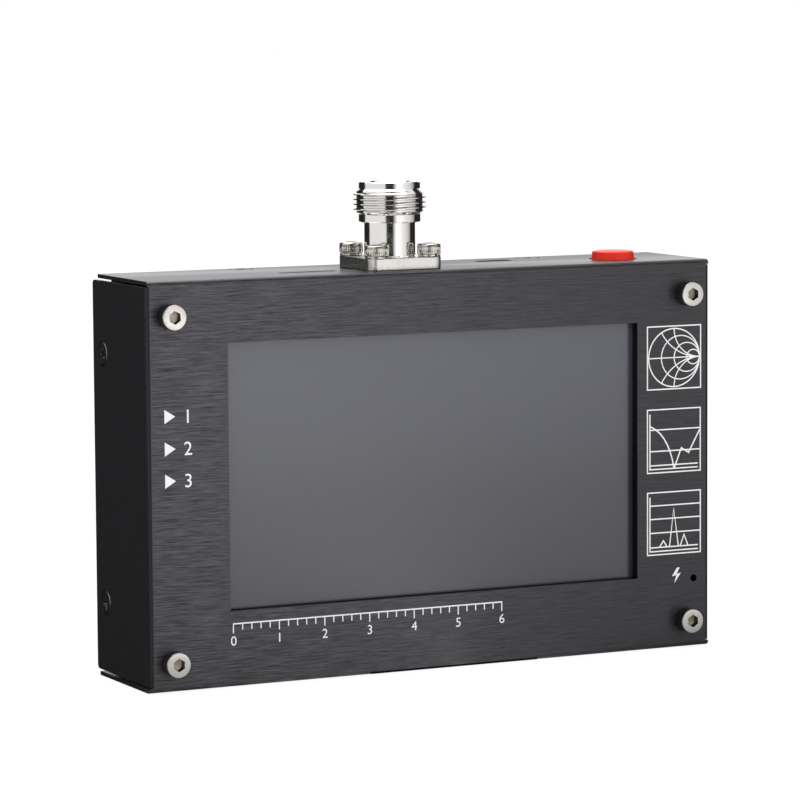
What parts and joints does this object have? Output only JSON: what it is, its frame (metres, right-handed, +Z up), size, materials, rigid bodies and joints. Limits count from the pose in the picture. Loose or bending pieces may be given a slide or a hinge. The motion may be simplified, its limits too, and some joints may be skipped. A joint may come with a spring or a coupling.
{
  "type": "antenna analyzer",
  "caption": "Hand-held antenna analyzer: a bent sheet case with a wide screen window, a round threaded N-type socket and a push power button on top.",
  "frame": {"origin": "bottom centre of the bounding box, on the plane the case stands on", "axes": "+X to the right along the wide front, +Y from the front face to the rear cover, +Z up towards the socket"},
  "size_m": [0.136, 0.0332, 0.1056],
  "materials": {
    "case_front": "black anodised sheet, brushed along the front face",
    "case_rear": "black anodised sheet, satin",
    "bright_steel": "stainless steel, bright",
    "black_steel": "black oxide screws",
    "brass_hardware": "turned brass",
    "nickel_plate": "polished nickel plate",
    "gold_contact": "gold-plated contact",
    "tinned_steel": "tinned pressed steel",
    "screen_glass": "unlit touch screen with a dark border",
    "dark_glass": "unlit display cell",
    "white_plastic": "natural white plastic",
    "black_plastic": "black moulded plastic",
    "red_plastic": "satin red moulded plastic",
    "black_foam": "closed-cell foam",
    "amber_film": "amber polyimide film",
    "circuit_board": "green circuit board with soldered parts",
    "battery_foil": "aluminium laminate pouch"
  },
  "bodies": {
    "case": {"front_shell": "case_front", "rear_cover": "case_rear", "front_screw_left_low": "bright_steel", "front_screw_left_high": "bright_steel", "front_screw_right_low": "bright_steel", "front_screw_right_high": "bright_steel", "front_spacer_left_low": "brass_hardware", "front_spacer_left_high": "brass_hardware", "front_spacer_right_low": "brass_hardware", "front_spacer_right_high": "brass_hardware", "rear_standoff_left_low": "brass_hardware", "rear_standoff_left_high": "brass_hardware", "rear_standoff_right_low": "brass_hardware", "rear_standoff_right_high": "brass_hardware", "board_screw_left_low": "bright_steel", "board_screw_left_high": "bright_steel", "board_screw_right_low": "bright_steel", "board_screw_right_high": "bright_steel", "cover_screw_left_low": "black_steel", "cover_screw_left_high": "black_steel", "cover_screw_right_low": "black_steel", "cover_screw_right_high": "black_steel", "cover_screw_top_left": "black_steel", "cover_screw_top_right": "black_steel", "cover_screw_bottom_left": "black_steel", "cover_screw_bottom_right": "black_steel", "window_gasket": "black_foam", "touch_panel": "screen_glass", "lcd_glass": "dark_glass", "lcd_backlight": "white_plastic", "lcd_frame": "tinned_steel", "lcd_flex": "amber_film", "main_board": "circuit_board", "rf_board": "circuit_board", "rf_shield": "tinned_steel", "microsd_socket": "tinned_steel", "micro_usb_socket": "tinned_steel", "charging_led": "white_plastic", "n_connector_body": "nickel_plate", "n_connector_insulator": "white_plastic", "n_connector_contact": "gold_contact", "connector_washer_front_left": "bright_steel", "connector_washer_front_right": "bright_steel", "connector_washer_rear_left": "bright_steel", "connector_washer_rear_right": "bright_steel", "connector_screw_front_left": "bright_steel", "connector_screw_front_right": "bright_steel", "connector_screw_rear_left": "bright_steel", "connector_screw_rear_right": "bright_steel", "connector_nut_plate": "bright_steel", "rf_link": "gold_contact", "power_switch_housing": "black_plastic", "power_switch_base": "black_plastic", "power_switch_spring": "bright_steel", "battery_cell": "battery_foil", "battery_pad": "black_foam", "battery_plug": "white_plastic", "battery_cable": "black_plastic"},
    "power_button": {"power_button_cap": "red_plastic", "power_switch_plunger": "white_plastic"}
  },
  "joints": [
    {"name": "button_press", "type": "slide", "parent": "case", "child": "power_button", "axis": [0, 0, -1], "range_m": [0, 0.0018], "stiffness_N_per_m": 500, "deforming": ["power_switch_spring"]}
  ]
}
